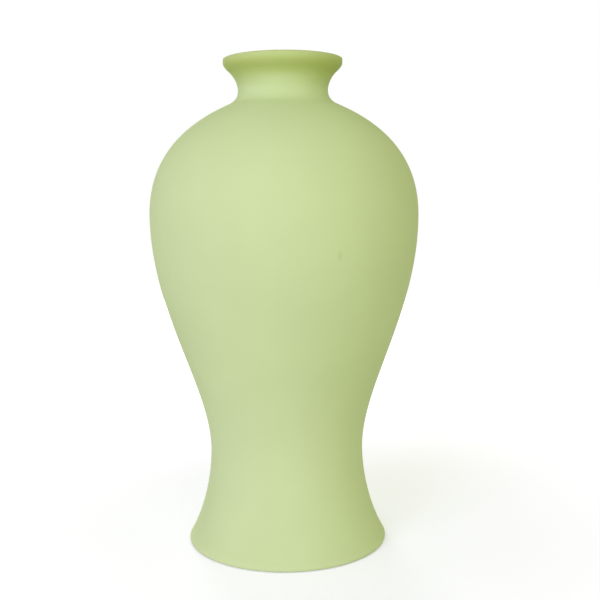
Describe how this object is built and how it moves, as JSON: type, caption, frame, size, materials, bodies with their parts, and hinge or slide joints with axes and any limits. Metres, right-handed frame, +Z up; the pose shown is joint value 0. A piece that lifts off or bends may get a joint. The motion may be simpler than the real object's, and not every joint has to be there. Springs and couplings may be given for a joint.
{
  "type": "ceramic vase",
  "caption": "Baluster vase with flared lip, pinched neck, full shoulders, narrow waist and flared foot, for holding flowers.",
  "frame": {"origin": "centre of the foot, on the surface that the vase stands on", "axes": "+Z up along the axis that the vase is turned about; X and Y level"},
  "size_m": [0.1646, 0.1646, 0.3],
  "materials": {
    "bare_clay": "unglazed, fired",
    "matte_green_glaze": "matte glaze, pale green",
    "clear_liner_glaze": "gloss glaze, clear over pale clay"
  },
  "bodies": {
    "root": {"stoneware_body": "bare_clay", "matte_glaze_coat": "matte_green_glaze", "liner_glaze": "clear_liner_glaze", "base_glaze": "matte_green_glaze"}
  },
  "joints": []
}
